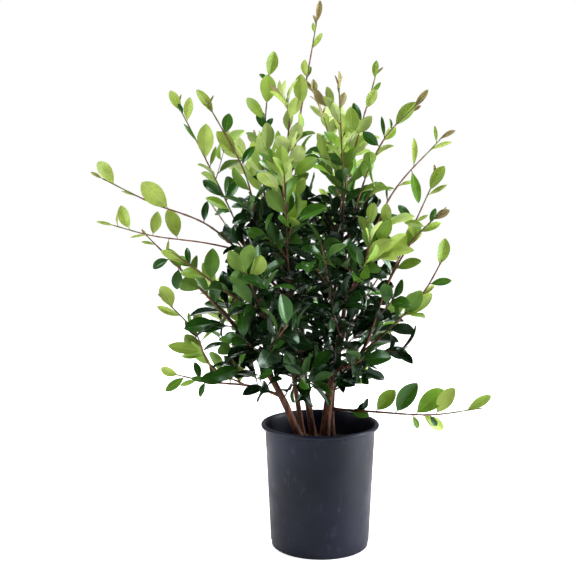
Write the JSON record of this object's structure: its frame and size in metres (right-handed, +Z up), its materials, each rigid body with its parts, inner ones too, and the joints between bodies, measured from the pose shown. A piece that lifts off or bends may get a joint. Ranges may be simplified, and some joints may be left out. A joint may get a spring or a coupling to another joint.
{
  "type": "potted camellia shrub",
  "caption": "Upright multi-stemmed camellia shrub with arching leafy shoots, standing in a plain round black nursery pot.",
  "frame": {"origin": "middle of the pot's flat underside, on the surface it stands on", "axes": "+Z up along the pot's axis; the shrub's broadest side faces -Y, with +X to its right as seen from there"},
  "size_m": [0.7385, 0.5108, 1.0043],
  "materials": {
    "pot_plastic": "moulded black nursery plastic with a soft satin sheen and light scuffs",
    "potting_mix": "dark composted bark, coarse and matt",
    "bark": "smooth red-brown bark with fine ridges and grey patches, tan on young shoots",
    "foliage_fresh": "young lime to mid green leaves with a soft gloss, bronze at the newest tips",
    "foliage_mature": "mid green leathery leaves, glossy above and paler beneath",
    "foliage_old": "dark green glossy leaves of the inner crown"
  },
  "bodies": {
    "root": {"bough_back": "bark", "bough_back_left": "bark", "bough_back_right": "bark", "bough_high_left": "bark", "bough_left_arch": "bark", "bough_long_left": "bark", "bough_low_left": "bark", "bough_low_right": "bark", "bough_right": "bark", "bough_right_reach": "bark", "bough_upper_left": "bark", "bough_upper_left_inner": "bark", "bough_upper_right": "bark", "leaves_back": "foliage_mature", "leaves_back_left": "foliage_mature", "leaves_back_low": "foliage_old", "leaves_back_low_left": "foliage_old", "leaves_back_low_right": "foliage_old", "leaves_back_right": "foliage_mature", "leaves_back_upper": "foliage_fresh", "leaves_back_upper_left": "foliage_fresh", "leaves_centre_low": "foliage_old", "leaves_front": "foliage_old", "leaves_front_far_right": "foliage_old", "leaves_front_left": "foliage_mature", "leaves_front_low": "foliage_old", "leaves_front_low_left": "foliage_old", "leaves_front_low_right": "foliage_old", "leaves_front_right": "foliage_mature", "leaves_high_left": "foliage_fresh", "leaves_left_arch": "foliage_mature", "leaves_long_left": "foliage_fresh", "leaves_low_left": "foliage_fresh", "leaves_low_left_fork": "foliage_mature", "leaves_low_right": "foliage_fresh", "leaves_right": "foliage_fresh", "leaves_right_fork": "foliage_fresh", "leaves_right_low": "foliage_old", "leaves_right_reach": "foliage_mature", "leaves_stem_back": "foliage_fresh", "leaves_stem_back_left": "foliage_fresh", "leaves_stem_centre": "foliage_fresh", "leaves_stem_far_right": "foliage_fresh", "leaves_stem_left": "foliage_mature", "leaves_stem_right": "foliage_fresh", "leaves_upper_front": "foliage_fresh", "leaves_upper_left": "foliage_fresh", "leaves_upper_left_inner": "foliage_fresh", "leaves_upper_right": "foliage_fresh", "leaves_upper_right_inner": "foliage_fresh", "pot": "pot_plastic", "potting_mix": "potting_mix", "stem_back": "bark", "stem_back_left": "bark", "stem_centre": "bark", "stem_far_right": "bark", "stem_left": "bark", "stem_right": "bark"}
  },
  "joints": []
}
